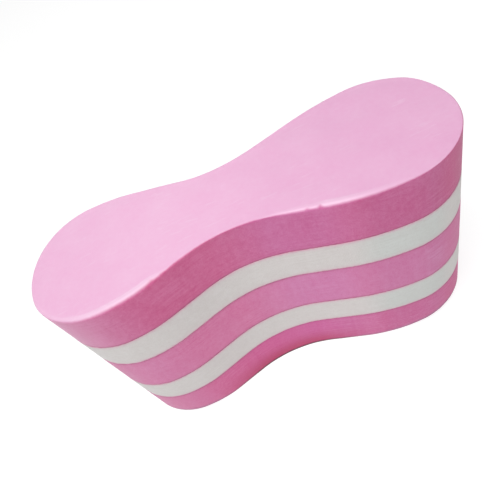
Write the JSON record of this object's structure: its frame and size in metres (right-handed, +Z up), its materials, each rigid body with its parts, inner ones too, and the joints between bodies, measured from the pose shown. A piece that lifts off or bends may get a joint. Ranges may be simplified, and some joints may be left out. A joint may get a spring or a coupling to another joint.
{
  "type": "pull buoy",
  "caption": "Figure-eight block of laminated pink and white closed-cell foam, held between a swimmer's thighs to float the legs while the arms pull.",
  "frame": {"origin": "middle of the base, on the surface that the buoy stands on", "axes": "+X from the small lobe to the large lobe, +Y across the lobes, +Z up the stack of sheets"},
  "size_m": [0.23, 0.079, 0.1316],
  "materials": {
    "pink_foam": "matte",
    "white_foam": "matte",
    "adhesive": "satin"
  },
  "bodies": {
    "root": {"bottom_pink_sheet": "pink_foam", "bottom_glue_film": "adhesive", "lower_white_sheet": "white_foam", "lower_middle_glue_film": "adhesive", "middle_pink_sheet": "pink_foam", "upper_middle_glue_film": "adhesive", "upper_white_sheet": "white_foam", "top_glue_film": "adhesive", "top_pink_sheet": "pink_foam"}
  },
  "joints": []
}
